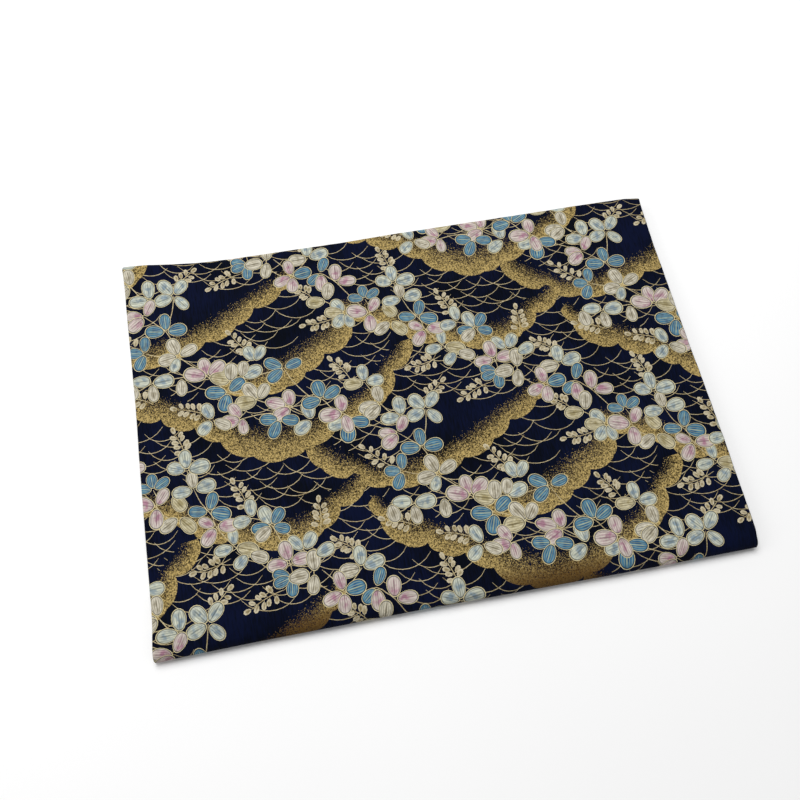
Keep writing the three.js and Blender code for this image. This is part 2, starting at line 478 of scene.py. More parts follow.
scallop = {
    "bulge": 0.17,       # of its width
    "blunt": 0.8,        # under 1 is fuller than a plain arc
    "steps": 7,
    "dustRise": 3.0,     # how much further up than the upper line the last grains lie
    "dustStep": 8.0,
}

# Ripples like loose fish scales, in rows below the drifts
ripples = {
    "wide": 26.0,
    "deep": 6.6,
    "along": 15.7,       # from one to the next
    "down": 6.6,         # from row to row
    "nearest": 1.0,      # from a drift's edge down to the first
    "reach": 30.0,       # and to the last
    "origin": (95, 35),
    "stray": (1.2, 1.0), # how far they wander along and down
    "uneven": 0.16,      # how far their width varies
    "lean": 0.04,
    "leanUneven": 0.1,
    "blunt": 0.8,
    "steps": 9,
}


def smoothLine(points, step):
    # a soft curve through the points, cut about every so many millimetres
    p = np.array(points, float)
    p = np.vstack([2 * p[0] - p[1], p, 2 * p[-1] - p[-2]])
    line = []
    for a, b, c, d in zip(p[:-3], p[1:-2], p[2:-1], p[3:]):
        t = np.linspace(0, 1, max(2, round(np.linalg.norm(c - b) / step)), endpoint=False)[:, None]
        line.append(0.5 * (2 * b + (c - a) * t + (2 * a - 5 * b + 4 * c - d) * t**2
                           + (3 * b - a - 3 * c + d) * t**3))
    return np.vstack([*line, p[-2:-1]])


def strip(line, wide):
    # a drawn line of that width, finer at its ends
    way = np.gradient(line, axis=0)
    way /= np.linalg.norm(way, axis=1)[:, None]
    across = np.stack([-way[:, 1], way[:, 0]], 1) * wide / 2
    share = np.linspace(-1, 1, len(line))
    across *= 1 - (1 - lineWide["ends"]) * np.abs(share[:, None]) ** 6
    return np.vstack([line + across, (line - across)[::-1]])


def leafShape(x, y, direction, long, wide, count):
    # a pointed oval from its foot at x, y
    turn = np.arange(count) * 2 * math.pi / count
    along = (1 - np.cos(turn)) * long / 2
    side = np.sin(turn) * wide / 2 * (1 - leafSize["tip"] * np.cos(turn))
    c, s = math.cos(math.radians(direction)), math.sin(math.radians(direction))
    return np.stack([x + along * c - side * s, y + along * s + side * c], 1)


def scalloped(cusps):
    # a drift's lower edge: an arc between each two cusps
    line = []
    for a, b in zip(cusps[:-1], cusps[1:]):
        a, b = np.array(a, float), np.array(b, float)
        t = np.linspace(0, 1, scallop["steps"], endpoint=False)[:, None]
        out = np.array([-(b - a)[1], (b - a)[0]]) * scallop["bulge"]
        line.append(a + (b - a) * t + out * (4 * t * (1 - t)) ** scallop["blunt"])
    return np.vstack([*line, np.array([cusps[-1]], float)])


def dustEnd(upper):
    return smoothLine(upper, scallop["dustStep"]) - (0, scallop["dustRise"])


def copyAt(i, j):
    # how far a copy of the repeat lies from the first one
    return np.array(repeat["along"], float) * i + np.array(repeat["down"], float) * j


def edgeAbove(x, y):
    # how far a point lies below the lowest drift edge above it
    gaps = [math.inf]
    beyond = 4           # a drift still counts this far past its ends
    for cusps, _ in drifts:
        cx, cy = np.array(cusps, float).T
        order = np.argsort(cx)
        for i in range(-2, 3):
            for j in range(-3, 4):
                dx, dy = copyAt(i, j)
                if cx.min() + dx - beyond < x < cx.max() + dx + beyond:
                    gap = y - (np.interp(x - dx, cx[order], cy[order]) + dy)
                    gaps.append(gap if gap > 0 else math.inf)
    return min(gaps)


def rippleLines():
    # one repeat of ripples; the sines stand for the hand's unevenness,
    # with factors that keep them out of step
    lines = []
    across, down = repeat["along"][0], repeat["down"][1]
    rows, columns = round(down / ripples["down"]), round(across / ripples["along"])
    strayX, strayY = ripples["stray"]
    for row in range(rows):
        for column in range(columns):
            x = ripples["origin"][0] + (column + (row % 2) / 2) * across / columns
            y = ripples["origin"][1] + row * down / rows
            x += strayX * math.sin(row * 2.3 + column * 1.9)
            y += strayY * math.sin(row * 1.7 - column * 2.6)
            if not ripples["nearest"] < edgeAbove(x, y) < ripples["reach"]:
                continue
            wide = ripples["wide"] * (1 + ripples["uneven"] * math.sin(row * 3.1 + column * 4.7))
            lean = ripples["lean"] + ripples["leanUneven"] * math.sin(row * 1.3 + column * 5.1)
            t = np.linspace(-1, 1, ripples["steps"])
            bow = ripples["deep"] * (1 - t**2) ** ripples["blunt"]
            lines.append(np.stack([x + t * wide / 2, y + bow + lean * t * wide / 2], 1))
    return lines


def leafPlaced(x, y, direction, ink, long, stalk):
    # a leaf or bud whose foot is a stalk's length from x, y: outline, ink, and its own place
    size = budSize if ink == "bud" else leafSize
    uneven = 0 if ink == "bud" else leafSize["uneven"] * math.sin(1.7 * x + 0.05 * direction)
    wide = long * (size["wide"] + uneven)
    c, s = math.cos(math.radians(direction)), math.sin(math.radians(direction))
    x, y = x + stalk * c, y + stalk * s
    return leafShape(x, y, direction, long, wide, size["round"]), ink, (x, y, c, s, long, wide)


def drawnLine(points, kind):
    return strip(points, lineWide[kind]), "line", None


def sprayShapes(x0, y0, x1, y1, bow, pairs):
    # a bowed spray, its pairs of buds on stalks of their own, and a bud at its end
    start, end = np.array([x0, y0], float), np.array([x1, y1], float)
    way = end - start
    normal = np.array([-way[1], way[0]]) / np.linalg.norm(way)
    heading = math.degrees(math.atan2(way[1], way[0]))

    def onSpray(share):
        return start + way * share + normal * bow * 4 * share * (1 - share)

    made = [drawnLine(onSpray(np.linspace(0, 1, budSize["steps"])[:, None]), "spray")]
    (spread, closing), (full, less, uneven) = budSize["spread"], budSize["taper"]
    for i in range(pairs):
        for side in (-1, 1):
            share = budSize["first"] + budSize["span"] * (i + budSize["stagger"] * (side > 0)) / pairs
            foot = onSpray(share)
            sway = budSize["sway"] * math.sin(3 * i + x0 + side)
            turn = heading + side * (spread - closing * share) + sway
            long = budSize["long"] * (full - less * share + uneven * math.sin(5 * i + side))
            stalk = budSize["stalk"] * (budSize["stalkTaper"][0] - budSize["stalkTaper"][1] * share)
            out = np.array([math.cos(math.radians(turn)), math.sin(math.radians(turn))])
            made.append(drawnLine(foot + out * np.linspace(0, stalk, 2)[:, None], "spray"))
            made.append(leafPlaced(*foot, turn, "bud", long, stalk))
    made.append(leafPlaced(x1, y1, heading, "bud", budSize["long"], budSize["endStalk"]))
    return made


def unitShapes():
    # every shape of one repeat, lowest first: outline, ink, and a leaf's own place or a drift's number
    shapes = [drawnLine(line, "ripple") for line in rippleLines()]
    for number, (cusps, upper) in enumerate(drifts):
        shapes.append((np.vstack([scalloped(cusps), dustEnd(upper)[::-1]]), "drift", number))
    for points in stems:
        shapes.append(drawnLine(smoothLine(points, lineWide["step"]), "stem"))
    for spray in sprays:
        shapes += sprayShapes(*spray)
    for x, y, leaves in sprigs:
        for direction, ink, long in leaves:
            shapes.append(leafPlaced(x, y, direction, ink, long, leafSize["stalk"]))
    return shapes


def printShapes():
    # the repeat set side by side over all that shows; each shape also keeps how far its copy is moved
    margin = repeat["margin"]
    low = np.array([-margin, -printTop - margin])
    high = np.array([repeat["faceWide"] + margin, clothV - printTop + margin])
    tucked = marks[1] - repeat["showing"] - printTop
    found = []
    for outline, ink, own in unitShapes():
        for i in repeat["copiesAlong"]:
            for j in repeat["copiesDown"]:
                move = copyAt(i, j)
                moved = outline + move
                if (moved.max(0) < low).any() or (moved.min(0) > high).any():
                    continue
                if moved[:, 1].max() < tucked and moved[:, 0].min() > repeat["showing"]:
                    continue
                found.append((moved, ink, own, move))
    return found


shapes = printShapes()
print("print laid out:", len(shapes), "shapes")


# The cloth itself
cloth = {
    "fine": 6.0,         # mesh size on the printed face
    "coarse": 12.0,      # and where nothing shows
    "foldSteps": 8,
    "sideSteps": 8,
    "nearSteps": 14,
    "rimSteps": 4,
    "hemWide": 5.0,      # a narrow hem at both cut ends; the other two edges are selvedges
    "hemSlope": 0.6,     # over which its thickness ends
    "hemRaise": 0.25,
    "closest": 0.0001,   # points nearer to each other than this become one
}
outerW = stack["cotton"] / 2
foldEnd = foldU + foldRun
# What a triangle is, where it isn't in a printed shape
bare, backFace, rim = -1, -2, -3


def stops(start, end, size):
    # even steps of about that size, without the last point
    return np.linspace(start, end, max(2, round((end - start) / size) + 1))[:-1]


def reverseW(v):
    # height of the reverse, which stands out at the hems
    slope = cloth["hemSlope"]
    hem = np.clip((cloth["hemWide"] + slope - np.minimum(v, clothV - v)) / slope, 0, 1)
    return -outerW - cloth["hemRaise"] * hem


def gridPoints(fine):
    # points of the flat cloth, and the lines along its folds that the mesh has to follow
    near, far = (cloth["fine"], cloth["coarse"]) if fine else (cloth["coarse"],) * 2
    us = [stops(0, foldU, near), foldU + foldRun * np.arange(cloth["sideSteps"]) / cloth["sideSteps"],
          stops(foldEnd, clothU, far), [clothU]]
    farSteps, nearSteps = cloth["foldSteps"], cloth["nearSteps"]
    hemLines = [cloth["hemWide"], cloth["hemWide"] + cloth["hemSlope"]]
    vs = [[0.0], hemLines, stops(marks[0] + far, marks[1], far),
          marks[1] + lengths[1] * np.arange(farSteps) / farSteps,
          stops(marks[2], marks[3], near), marks[3] + lengths[3] * np.arange(nearSteps) / nearSteps,
          stops(marks[4], marks[5] - far, near), [clothV - x for x in hemLines[::-1]], [clothV]]
    us, vs = np.concatenate(us), np.concatenate(vs)
    grid = np.stack(np.meshgrid(us, vs, indexing="ij"), -1).reshape(-1, 2)
    bends = [(u, 0, u, clothV) for u in us if foldU <= u <= foldEnd or u in (0, clothU)]
    bends += [(0, v, clothU, v) for v in vs
              if marks[1] <= v <= marks[2] or marks[3] <= v <= marks[4]
              or min(v, clothV - v) < cloth["hemWide"] + 1]
    return grid, np.array(bends, float).reshape(-1, 2)


def triangulate(grid, bends, loops):
    # triangles through all points and along all lines, each with the highest shape that it lies in
    points = np.vstack([grid, bends, *loops])
    start = len(grid)
    edges = [(start + 2 * i, start + 2 * i + 1) for i in range(len(bends) // 2)]
    faces, at = [], start + len(bends)
    for loop in loops:
        faces.append(list(range(at, at + len(loop))))
        at += len(loop)
    corners = [Vector(p) for p in points.tolist()]
    made = delaunay_2d_cdt(corners, edges, faces, 0, cloth["closest"], True)
    places, triangles = np.round([tuple(p) for p in made[0]], 3), np.array(made[2])
    tops = np.array([max(f) if f else bare for f in made[5]])
    middle = places[triangles].mean(1)
    inside = ((middle > 0) & (middle < (clothU, clothV))).all(1)
    return places, triangles[inside], tops[inside]


def toFlat(outline):
    # from the print's x and y to the flat cloth's u and v
    return np.stack([repeat["faceWide"] - outline[:, 0], printTop + outline[:, 1]], 1)


def nearest(points, line):
    # each point's distance to a drawn line
    best = np.full(len(points), 1e9)
    for a, b in zip(line[:-1], line[1:]):
        ab = b - a
        share = np.clip(((points - a) @ ab) / (ab @ ab), 0, 1)[:, None]
        best = np.minimum(best, np.linalg.norm(points - a - share * ab, axis=1))
    return best


def edgePoints(p):
    # the points along each side of the cloth, in order: u = 0, u = clothU, v = 0, v = clothV
    ends = ((0, 0), (0, clothU), (1, 0), (1, clothV))
    return [np.unique(p[np.abs(p[:, axis] - value) < 1e-6], axis=0) for axis, value in ends]


def rimRows(side, axis, outwards):
    # rows of points from the printed side round the edge to the reverse
    top, bottom = outerW, reverseW(side[:, 1])
    radius = (top - bottom) / 2
    rows = []
    for turn in np.linspace(0, math.pi, cloth["rimSteps"] + 1):
        out = outwards * math.sin(turn)
        row = np.column_stack([side, (top + bottom) / 2 + radius * math.cos(turn)])
        row[:, axis] += outwards * radius * math.sin(turn)
        ways = np.tile([math.cos(turn), out * (axis == 0), out * (axis == 1)], (len(side), 1))
        rows.append(np.column_stack([row, ways]))
    return rows


def buildCloth():
    # the printed face, the reverse, and the rim that joins them, as one closed skin of the flat cloth
    places, triangles, tops = triangulate(*gridPoints(True), [toFlat(shape[0]) for shape in shapes])
    sides = edgePoints(places[np.unique(triangles)])
    backGrid, backBends = gridPoints(False)
    inset = 0.01
    within = ((backGrid > inset) & (backGrid < (clothU - inset, clothV - inset))).all(1)
    backPlaces, backTriangles, _ = triangulate(np.vstack([backGrid[within], *sides]), backBends, [])

    # every vertex: u, v, height, then how its normal mixes from the surface's and the way out
    count = len(places)
    parts = [np.column_stack([places, np.full(count, outerW), np.ones(count), np.zeros((count, 2))])]
    back = len(backPlaces)
    parts.append(np.column_stack([backPlaces, reverseW(backPlaces[:, 1]), -np.ones(back),
                                  np.zeros((back, 2))]))
    faces = [triangles, backTriangles[:, ::-1] + count]
    top = [tops, np.full(len(backTriangles), backFace)]
    total = count + back
    ends = {}
    for (axis, outwards), side in zip(((0, -1), (0, 1), (1, -1), (1, 1)), sides):
        rows = rimRows(side, axis, outwards)
        ids = total + np.arange(len(rows) * len(side)).reshape(len(rows), len(side))
        parts += rows
        total += ids.size
        a, b = ids[:-1, :-1].ravel(), ids[1:, :-1].ravel()
        c, d = ids[1:, 1:].ravel(), ids[:-1, 1:].ravel()
        ring = np.concatenate([np.stack([a, b, c], 1), np.stack([a, c, d], 1)])
        faces.append(ring if (outwards < 0) == (axis == 0) else ring[:, ::-1])
        top.append(np.full(len(ring), rim))
        ends[axis, outwards] = ids
    # a patch at each corner, between the rims of its two sides
    for outU in (-1, 1):
        for outV in (-1, 1):
            p = ends[0, outU][:, 0 if outV < 0 else -1]
            q = ends[1, outV][:, 0 if outU < 0 else -1]
            patch = np.concatenate([np.stack([p[:-1], q[:-1], q[1:]], 1),
                                    np.stack([p[:-1], q[1:], p[1:]], 1)])
            faces.append(patch if outU * outV > 0 else patch[:, ::-1])
            top.append(np.full(len(patch), rim))
    rows, faces, top = np.vstack(parts), np.vstack(faces), np.concatenate(top)

    # points in the same place become one
    _, first, same = np.unique(np.round(rows[:, :3], 3), axis=0, return_index=True, return_inverse=True)
    rows, faces = rows[first], same.ravel()[faces]
    whole = (faces[:, 0] != faces[:, 1]) & (faces[:, 1] != faces[:, 2]) & (faces[:, 2] != faces[:, 0])
    faces, top = faces[whole], top[whole]
    used, faces = np.unique(faces, return_inverse=True)
    rows, faces = rows[used], faces.reshape(-1, 3)
    return rows, faces, top


def normalsOf(rows):
    # from where the fold takes points a little to each side
    u, v, w = rows[:, 0], rows[:, 1], rows[:, 2]
    step = 0.05
    alongU = folded(u + step, v, w) - folded(u - step, v, w)
    alongV = folded(u, v + step, w) - folded(u, v - step, w)
    away = np.cross(alongU, alongV)
    parts = [x / np.linalg.norm(x, axis=1)[:, None] for x in (away, alongU, alongV)]
    return sum(rows[:, 3 + i, None] * parts[i] for i in range(3))


def printPlaces(rows, faces, top):
    # for every corner of every triangle, how thick the dust is and where in its leaf the corner lies
    flat = rows[faces.ravel(), :2]
    place = np.stack([repeat["faceWide"] - flat[:, 0], flat[:, 1] - printTop], 1)
    dust = np.zeros(len(flat), np.float32)
    leaf = np.zeros((len(flat), 2), np.float32)
    cornerTop = np.repeat(top, 3)
    order = np.argsort(cornerTop, kind="stable")
    starts = np.searchsorted(cornerTop[order], np.arange(len(shapes)))
    finals = np.searchsorted(cornerTop[order], np.arange(len(shapes)), side="right")
    for n, (_, ink, own, move) in enumerate(shapes):
        mine = order[starts[n]:finals[n]]
        if not len(mine) or ink == "line":
            continue
        here = place[mine] - move
        if ink == "drift":
            cusps, upper = drifts[own]
            low = nearest(here, scalloped(cusps))
            high = nearest(here, dustEnd(upper))
            dust[mine] = high / (low + high + 1e-6)
        else:
            x, y, c, s, long, wide = own
            dx, dy = here[:, 0] - x, here[:, 1] - y
            leaf[mine] = np.stack([(dx * c + dy * s) / long, 0.5 + (dy * c - dx * s) / wide], 1)
    return dust, leaf


def drawCloth():
    rows, faces, top = buildCloth()
    points = folded(*rows[:, :3].T)
    mesh = bpy.data.meshes.new("foldedCloth")
    mesh.vertices.add(len(points))
    mesh.vertices.foreach_set("co", (points * mm).astype(np.float32).ravel())
    mesh.loops.add(faces.size)
    mesh.loops.foreach_set("vertex_index", faces.astype(np.int32).ravel())
    mesh.polygons.add(len(faces))
    mesh.polygons.foreach_set("loop_start", np.arange(0, faces.size, 3, dtype=np.int32))
    slots = ["ground", "reverse", "line", *inks]
    for slot in slots:
        mesh.materials.append(inkMaterials[slot])
    inkOf = ["ground" if ink == "drift" else ink for _, ink, _, _ in shapes]
    inkOf += ["ground", "reverse", "ground"]     # counted from the end: rim, backFace, bare
    slotOf = np.array([slots.index(ink) for ink in inkOf])
    mesh.polygons.foreach_set("material_index", slotOf[top].astype(np.int32))
    mesh.update()
    mesh.validate()

    dust, leaf = printPlaces(rows, faces, top)
    layer = mesh.attributes.new("dust", "FLOAT", "CORNER")
    layer.data.foreach_set("value", dust)
    mesh.uv_layers.new(name="leafPlace").data.foreach_set("uv", leaf.ravel())
    layer = mesh.attributes.new("flat", "FLOAT_VECTOR", "POINT")
    layer.data.foreach_set("vector", rows[:, :3].astype(np.float32).ravel())
    # OFBake: a second map of the cloth, laid out part by part as mapParts gives
    mesh.uv_layers.new(name="OFBake").data.foreach_set("uv", mapPlaces(rows, faces, top).ravel())
    mesh.polygons.foreach_set("use_smooth", np.ones(len(faces), bool))
    mesh.normals_split_custom_set_from_vertices(normalsOf(rows).tolist())
    made = bpy.data.objects.new("foldedCloth", mesh)
    bpy.context.scene.collection.objects.link(made)
    return made


# Where each part of the cloth lies on that map: lowest and highest u and v in mm, then corner and size there
mapParts = {
    "face": ((-2, marks[1] - 1), (foldEnd + 2, marks[4] + 1), (0.002, 0.335), (0.996, 0.663)),
    "under": ((-2, marks[4] - 1), (foldEnd + 2, clothV + 2), (0.002, 0.002), (0.62, 0.325)),
    "tucked": ((-2, -2), (foldEnd + 2, marks[1] + 1), (0.63, 0.002), (0.18, 0.325)),
    "inner": ((foldEnd - 2, -2), (clothU + 2, clothV + 2), (0.82, 0.002), (0.08, 0.325)),
    "reverse": ((-2, -2), (clothU + 2, clothV + 2), (0.91, 0.002), (0.088, 0.325)),
}


def mapPlaces(rows, faces, top):
    number = {name: i for i, name in enumerate(mapParts)}
    middle = rows[faces].mean(1)
    u, v = middle[:, 0], middle[:, 1]
    which = np.where(v > marks[4], number["under"], np.where(v < marks[1], number["tucked"], number["face"]))
    which = np.where(u > foldEnd, number["inner"], which)
    which = np.where(top == backFace, number["reverse"], which)
    table = np.array([[*low, *high, *corner, *size] for low, high, corner, size in mapParts.values()])
    low, high, corner, size = np.split(np.repeat(table[which], 3, axis=0), 4, axis=1)
    flat = rows[faces.ravel(), :2]
    return (corner + (flat - low) / (high - low) * size).astype(np.float32)


# What the cloth is dyed and printed with
tones = {
    "navy": "#070e28",
    "navyDeep": "#030610",
    "reverse": "#1a2048",
    "reverseDeep": "#12173a",
    "gold": "#c0a86c",
    "goldDark": "#33270e",
    # the gold dust in the painted shade along the near fold
    "goldInShade": "#5c421f",
    "line": "#beb18a",
    "lineDark": "#968256",
    "outline": "#d2c69a",
    "brushMark": "#94918a",
}
cotton = {
    "streaks": (1.25, 0.16, 1),   # darker and paler threads, per millimetre across and along
    "streakRough": 0.6,
    "clouds": 0.03,      # slow changes of tone, per millimetre
    "depth": (0.14, 0.36),   # where streaks times clouds turn from the deep tone to the full one
    "threads": 0.62,     # gives 0.5 mm from thread to thread, a little coarser than the usual 0.4
    "waver": 0.4,
    "bump": 0.25,
    "relief": 0.00012,   # metres
    "rough": 0.85,
    "gloss": 0.06,
}


def cottonGround(tree, shader, tone, deep):
    # dyed cotton in plain weave: matt, with streaks where single threads took more of the dye
    flat = readAttribute(tree, "flat", "Vector")
    warp = addNode(tree, "ShaderNodeMapping", {"Scale": cotton["streaks"]}, {"Vector": flat})
    streak = noiseOn(tree, warp.outputs["Vector"], 1.0, 2, cotton["streakRough"])
    cloud = noiseOn(tree, flat, cotton["clouds"], 1)
    share = mapRange(tree, maths(tree, "MULTIPLY", streak, cloud), *cotton["depth"])
    weaveBump(tree, shader, flat)
    shader.inputs["Roughness"].default_value = cotton["rough"]
    shader.inputs["Specular IOR Level"].default_value = cotton["gloss"]
    return flat, mixColours(tree, share, deep, tone)


def weaveBump(tree, shader, flat):
    # warp and weft as two crossing waves
    values = {"Scale": cotton["threads"], "Distortion": cotton["waver"], "Detail": 1}
    warp, weft = (addNode(tree, "ShaderNodeTexWave", values, {"Vector": flat}, bands_direction=way)
                  for way in "XY")
    threads = maths(tree, "MAXIMUM", warp.outputs["Fac"], weft.outputs["Fac"])
    bump = addNode(tree, "ShaderNodeBump", {"Strength": cotton["bump"], "Distance": cotton["relief"]},
                   {"Height": threads})
    tree.links.new(bump.outputs["Normal"], shader.inputs["Normal"])


def cellNoise(tree, flat, size):
    # one even random value for each small square of the cloth
    cells = addNode(tree, "ShaderNodeVectorMath", {1: (1 / size, 1 / size, 0)}, {0: flat},
                    operation="MULTIPLY")
    snapped = addNode(tree, "ShaderNodeVectorMath", links={0: cells.outputs["Vector"]}, operation="FLOOR")
    return addNode(tree, "ShaderNodeTexWhiteNoise", links={"Vector": snapped.outputs["Vector"]},
                   noise_dimensions="2D").outputs["Value"]


# The gold dust: sizes in millimetres, the rest in shares
dusting = {
    "grain": 0.32,       # across one grain
    "fleck": 0.6,        # across a bright or dull fleck, drawn coarse so that it shows
    "patch": 0.9,        # across a darker patch
    "thickest": 0.85,    # how far towards the scalloped edge it is at its thickest
    "cover": 0.92,       # how much of the cloth it covers there
    "fleckShare": 0.6,   # what the flecks add to its brightness
    "edgeShare": 0.3,    # and what nearness to the edge adds
    "bright": (0.66, 1.3),   # where that sum turns from dark to bright gold
    "nearFoldShade": (4, 20, 0.9, 0), # painted shade along the near fold: from and to, then how much at each
    "metal": 0.25,
}


def printedGround():
    # navy cotton under gold dust: metal powder in a clear binder, thick at the drift's scalloped edge
    # and thinning out away from it, so that it glitters unevenly
    material, tree, shader = newMaterial("navyCottonWithGoldDust")
    flat, ground = cottonGround(tree, shader, tones["navy"], tones["navyDeep"])
    dust = readAttribute(tree, "dust", "Fac")
    thick = mapRange(tree, dust, 0, dusting["thickest"], 0, dusting["cover"], "SMOOTHSTEP")
    lands = maths(tree, "LESS_THAN", cellNoise(tree, flat, dusting["grain"]), thick)
    patches = noiseOn(tree, flat, 1 / dusting["patch"], 2)
    flecks = cellNoise(tree, flat, dusting["fleck"])
    glint = maths(tree, "MULTIPLY_ADD", flecks, dusting["fleckShare"], patches)
    glint = maths(tree, "MULTIPLY_ADD", dust, dusting["edgeShare"], glint)
    gold = mixColours(tree, mapRange(tree, glint, *dusting["bright"]), tones["goldDark"], tones["gold"])
    # painted shade along the near fold, where the fold turns away from the light: the gold turns dark brown
    # there
    across = addNode(tree, "ShaderNodeSeparateXYZ", links={"Vector": flat}).outputs["Y"]
    distance = maths(tree, "ABSOLUTE", maths(tree, "SUBTRACT", across, (marks[3] + marks[4]) / 2))
    nearFoldShade = mapRange(tree, distance, *dusting["nearFoldShade"], "SMOOTHSTEP")
    shadedGold = mixColours(tree, nearFoldShade, gold, tones["goldInShade"])
    tree.links.new(mixColours(tree, lands, ground, shadedGold), shader.inputs["Base Color"])
    tree.links.new(maths(tree, "MULTIPLY", lands, dusting["metal"]), shader.inputs["Metallic"])
    return material


def plainReverse():
    # the cloth's back, where the dye shows through paler
    material, tree, shader = newMaterial("navyCottonReverse")
    _, ground = cottonGround(tree, shader, tones["reverse"], tones["reverseDeep"])
    tree.links.new(ground, shader.inputs["Base Color"])
    return material


# Gold lines: uneven tone per millimetre and where it turns, then the finish
goldDrawn = {"tone": 0.9, "turn": (0.35, 0.65), "metal": 0.2, "rough": 0.6}


def goldLine():
    # gold pigment drawn as fine lines, paler where it lies thick
    material, tree, shader = newMaterial("goldPigmentLine")
    flat = readAttribute(tree, "flat", "Vector")
    share = mapRange(tree, noiseOn(tree, flat, goldDrawn["tone"], 2), *goldDrawn["turn"])
    tree.links.new(mixColours(tree, share, tones["lineDark"], tones["line"]), shader.inputs["Base Color"])
    weaveBump(tree, shader, flat)
    shader.inputs["Metallic"].default_value = goldDrawn["metal"]
    shader.inputs["Roughness"].default_value = goldDrawn["rough"]
    return material


# Each ink: at the leaf's rim, at its heart, its midrib and veins, how dark the gap inside its outline is,
# and how far the heart's colour draws in towards the foot
inks = {
    "blue": ("#477c9a", "#28577f", "#b2bd9e", 0.9, 0.1),
    "pink": ("#cfc5bb", "#ae7f92", "#8c6975", 0.75, 0.9),
    "cream": ("#d4cebb", "#aba38d", "#655d4a", 0.75, 0.3),
    "sky": ("#cdd0bd", "#8699a5", "#757c78", 0.8, 0.3),
    "straw": ("#ccc3a2", "#a2966d", "#736747", 0.75, 0.3),
    "bud": ("#d4c9ac", "#a09067", "#6f6244", 0.0, 0.4),
}
# How a leaf is painted: along it -1 is the foot and 1 the tip, from its middle outwards 0 to 1 is the rim.
# Rows of four are from and to, then how strong at each.
painting = {
    "footPull": 0.4,     # how much the pull towards the foot takes from the whole
    "heart": 0.9,        # how far from the middle the heart's colour fades
    "blots": 0.3,        # uneven pigment, per millimetre
    "blotting": (6.0, -2.2),   # how strong it is, and from what level
    "filled": 0.95,      # at this depth the heart's colour is whole
    "roundEnds": 0.03,   # keeps the veins apart at foot and tip
    "veinTurn": 18.85,   # three whole turns of a cosine: the rim is the third vein from the midrib
    "veins": (0.3, 1.0, 0, 0.6),
    "midrib": (0.04, 0.12, 0.8, 0),
    "veinsEnd": (0.45, 0.85, 1, 0),
    "brush": (0.9, 3.6), # brush marks are longer than wide: how fast they change along and across
    "brushDrift": 0.09,  # and how they differ from leaf to leaf, per millimetre
    "brushMarks": (0.36, 0.6, 0.5, 0),
    "gap": (0.81, 0.86),
    "outline": (0.91, 0.94),
    "rough": 0.75,
    "gloss": 0.15,
}


def leafInk(name):
    # opaque pigment inside a gold outline, with a midrib and fine veins that run from foot to tip
    edge, heart, vein, gap, pull = inks[name]
    material, tree, shader = newMaterial(name + "PigmentLeaf")
    flat = readAttribute(tree, "flat", "Vector")
    place = addNode(tree, "ShaderNodeUVMap", uv_map="leafPlace").outputs["UV"]
    parts = addNode(tree, "ShaderNodeSeparateXYZ", links={"Vector": place})
    along = maths(tree, "MULTIPLY_ADD", parts.outputs["X"], 2, -1)
    side = maths(tree, "MULTIPLY_ADD", parts.outputs["Y"], 2, -1)
    swell = maths(tree, "MULTIPLY_ADD", along, leafSize["tip"], 1)
    across = maths(tree, "ABSOLUTE", maths(tree, "DIVIDE", side, swell))
    squared = maths(tree, "MULTIPLY", along, along)
    radius = maths(tree, "SQRT", maths(tree, "MULTIPLY_ADD", across, across, squared))

    # from the rim's colour to the heart's
    foot = maths(tree, "MULTIPLY_ADD", along, -pull, 1 - pull * painting["footPull"])
    middle = maths(tree, "SUBTRACT", 1, maths(tree, "MULTIPLY", radius, painting["heart"]))
    blots = maths(tree, "MULTIPLY_ADD", noiseOn(tree, flat, painting["blots"], 3), *painting["blotting"])
    depth = maths(tree, "MULTIPLY", maths(tree, "MULTIPLY", foot, middle), blots)
    body = mapRange(tree, depth, 0, painting["filled"], how="SMOOTHSTEP")
    colour = mixColours(tree, body, edge, heart)

    # midrib and veins
    breadth = maths(tree, "MAXIMUM", maths(tree, "SUBTRACT", 1, squared), painting["roundEnds"])
    meridian = maths(tree, "DIVIDE", across, maths(tree, "SQRT", breadth))
    wave = maths(tree, "COSINE", maths(tree, "MULTIPLY", meridian, painting["veinTurn"]))
    veins = mapRange(tree, wave, *painting["veins"])
    midrib = mapRange(tree, across, *painting["midrib"])
    ends = mapRange(tree, along, *painting["veinsEnd"])
    drawn = maths(tree, "MULTIPLY", maths(tree, "MAXIMUM", midrib, veins), ends)
    colour = mixColours(tree, drawn, colour, vein)

    # brush marks: short darker and paler strokes along the leaf
    rateAlong, rateAcross = painting["brush"]
    brushed = addNode(tree, "ShaderNodeCombineXYZ", links={"X": maths(tree, "MULTIPLY", along, rateAlong),
                                                           "Y": maths(tree, "MULTIPLY", side, rateAcross)})
    moved = addNode(tree, "ShaderNodeVectorMath", {1: (painting["brushDrift"], painting["brushDrift"], 0)},
                    {0: flat, 2: brushed.outputs[0]}, operation="MULTIPLY_ADD")
    strokes = noiseOn(tree, moved.outputs["Vector"], 1.0, 2, 0.7)
    marked = mapRange(tree, strokes, *painting["brushMarks"])
    colour = mixColours(tree, marked, colour, tones["brushMark"], blend_type="MULTIPLY")

    # a dark gap, then the outline
    colour = mixColours(tree, mapRange(tree, radius, *painting["gap"], 0, gap), colour, tones["navy"])
    colour = mixColours(tree, mapRange(tree, radius, *painting["outline"]), colour, tones["outline"])
    tree.links.new(colour, shader.inputs["Base Color"])
    weaveBump(tree, shader, flat)
    shader.inputs["Roughness"].default_value = painting["rough"]
    shader.inputs["Specular IOR Level"].default_value = painting["gloss"]
    return material


inkMaterials = {name: leafInk(name) for name in inks}
inkMaterials.update(ground=printedGround(), reverse=plainReverse(), line=goldLine())
piece = drawCloth()
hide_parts("cloth")
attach(piece, "root")
print("cloth folded:", len(piece.data.polygons), "faces")

